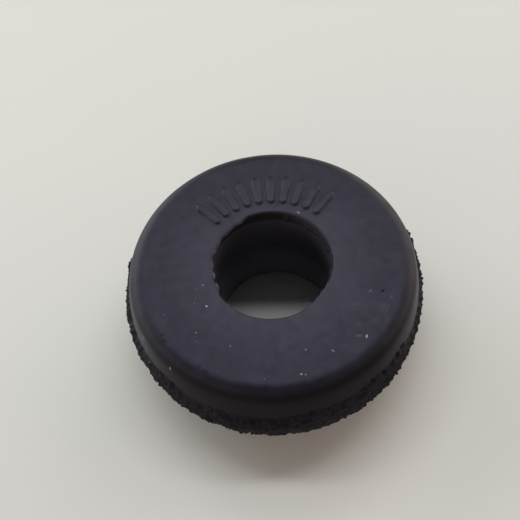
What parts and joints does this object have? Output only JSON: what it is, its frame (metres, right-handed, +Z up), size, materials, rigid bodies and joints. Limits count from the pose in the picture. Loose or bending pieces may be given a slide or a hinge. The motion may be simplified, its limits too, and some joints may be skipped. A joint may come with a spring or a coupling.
{
  "type": "sway bar link bushing",
  "caption": "Round rubber bushing with flat end faces, upright walls with rounded edges, a straight bore, a torn flash band at mid height and a row of short ribs on its upper face; cushions a stabiliser link bolt.",
  "frame": {"origin": "centre of the bore in the plane of the lower end face, on which the bushing stands", "axes": "+Z up along the bore, from the lower end face to the upper one"},
  "size_m": [0.0323, 0.0324, 0.0133],
  "materials": {
    "rubber": "satin moulded skin, matt and granular on the torn band"
  },
  "bodies": {
    "root": {"bushing": "rubber"}
  },
  "joints": []
}
